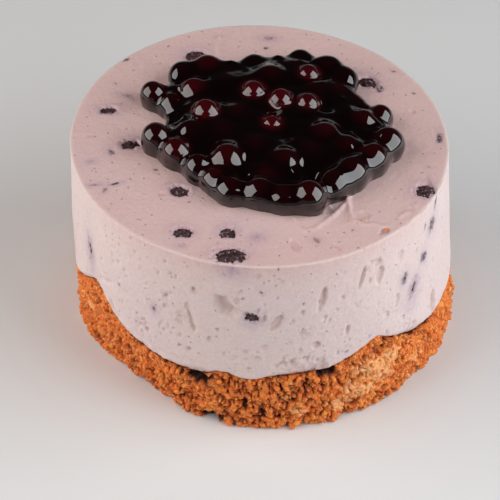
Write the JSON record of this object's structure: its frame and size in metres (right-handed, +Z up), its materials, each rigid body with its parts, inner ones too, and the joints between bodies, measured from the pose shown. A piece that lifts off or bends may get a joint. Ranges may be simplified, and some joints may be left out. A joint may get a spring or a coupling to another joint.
{
  "type": "berry cheesecake",
  "caption": "Small round cheesecake: pressed biscuit-crumb base, thick pale lilac cream filling with dark berries set in it, and glossy dark berry compote on top.",
  "frame": {"origin": "on the cake's axis, in the plane of its underside", "axes": "+Z up out of the cake's top, -Y towards the side the picture shows in front, +X to that view's right"},
  "size_m": [0.1533, 0.1498, 0.0968],
  "materials": {
    "biscuit_crumb": "coarse matt biscuit crumb, orange-brown with pale and dark grains",
    "cream_filling": "smooth satin set cream cheese, pale lilac-pink, with pits and purple berry stains",
    "berry_jelly": "wet, glossy, nearly black-red fruit jelly",
    "glazed_berry": "wet, glossy, dark red cooked berries under a coat of jelly",
    "set_berry": "satin, wrinkled, blue-black berry skin and pulp"
  },
  "bodies": {
    "root": {"crumb_base": "biscuit_crumb", "filling": "cream_filling", "compote_jelly": "berry_jelly", "berry_01": "glazed_berry", "berry_02": "glazed_berry", "berry_03": "glazed_berry", "berry_04": "glazed_berry", "berry_05": "glazed_berry", "berry_06": "glazed_berry", "berry_07": "glazed_berry", "berry_08": "glazed_berry", "berry_09": "glazed_berry", "berry_10": "glazed_berry", "berry_11": "glazed_berry", "berry_12": "glazed_berry", "berry_13": "glazed_berry", "berry_14": "glazed_berry", "berry_15": "glazed_berry", "berry_16": "glazed_berry", "berry_17": "glazed_berry", "berry_18": "glazed_berry", "berry_19": "glazed_berry", "berry_20": "glazed_berry", "berry_21": "glazed_berry", "berry_22": "glazed_berry", "berry_23": "glazed_berry", "berry_24": "glazed_berry", "berry_25": "glazed_berry", "berry_26": "glazed_berry", "berry_27": "glazed_berry", "berry_28": "glazed_berry", "berry_29": "glazed_berry", "berry_30": "glazed_berry", "berry_31": "glazed_berry", "berry_32": "glazed_berry", "berry_33": "glazed_berry", "berry_34": "glazed_berry", "berry_35": "glazed_berry", "set_berry_top_01": "set_berry", "set_berry_top_02": "set_berry", "set_berry_top_03": "set_berry", "set_berry_top_04": "set_berry", "set_berry_top_05": "set_berry", "set_berry_top_06": "set_berry", "set_berry_top_07": "set_berry", "set_berry_top_08": "set_berry", "set_berry_top_09": "set_berry", "set_berry_side_01": "set_berry", "set_berry_side_02": "set_berry", "set_berry_side_03": "set_berry", "set_berry_side_04": "set_berry", "set_berry_side_05": "set_berry", "set_berry_side_06": "set_berry", "set_berry_side_07": "set_berry"}
  },
  "joints": []
}
